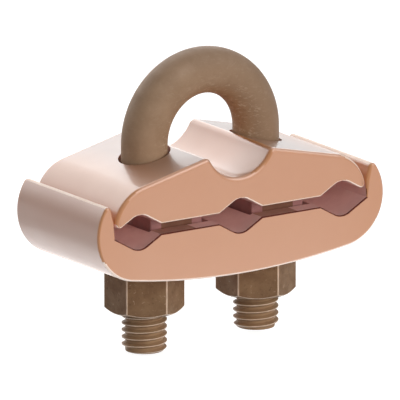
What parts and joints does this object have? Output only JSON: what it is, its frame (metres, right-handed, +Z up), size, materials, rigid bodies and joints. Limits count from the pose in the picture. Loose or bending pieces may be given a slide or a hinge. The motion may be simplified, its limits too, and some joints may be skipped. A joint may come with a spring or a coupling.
{
  "type": "mechanical grounding connector",
  "caption": "Copper-alloy grounding connector: a U-bolt draws a ground rod into the saddle of the upper casting while nuts close grooved castings on cables that run beside it.",
  "frame": {"origin": "centre of the middle cable groove, half way along it and half way between the parting faces", "axes": "+X across the grooves to the right, +Y along the cables and the rod, away from the viewer of the picture, +Z up from the nuts to the bow"},
  "size_m": [0.0936, 0.0398, 0.082],
  "materials": {
    "casting_copper": "smooth cast copper alloy, glossy",
    "bolt_bronze": "brown mottled silicon bronze"
  },
  "bodies": {
    "u_bolt": {"u_bolt": "bolt_bronze"},
    "lower_casting": {"lower_casting": "casting_copper"},
    "upper_casting": {"upper_casting": "casting_copper"},
    "left_nut": {"left_nut": "bolt_bronze"},
    "right_nut": {"right_nut": "bolt_bronze"}
  },
  "joints": [
    {"name": "clamp_travel", "type": "slide", "parent": "u_bolt", "child": "lower_casting", "axis": [0, 0, 1], "range_m": [-0.00782, 0.00293]},
    {"name": "jaw_gap", "type": "slide", "parent": "lower_casting", "child": "upper_casting", "axis": [0, 0, 1], "range_m": [-0.00295, 0.0015]},
    {"name": "left_nut_turn", "type": "hinge", "parent": "lower_casting", "child": "left_nut", "pos_m": [-0.01825, 0, -0.0222], "axis": [0, 0, 1], "range_deg": [-1440, 540]},
    {"name": "right_nut_turn", "type": "hinge", "parent": "lower_casting", "child": "right_nut", "pos_m": [0.01825, 0, -0.0222], "axis": [0, 0, 1], "range_deg": [-1440, 540]}
  ],
  "couplings": [
    {"joint": "left_nut_turn", "follows": "clamp_travel", "rad_per_m": 3215.8},
    {"joint": "right_nut_turn", "follows": "clamp_travel", "rad_per_m": 3215.8}
  ]
}
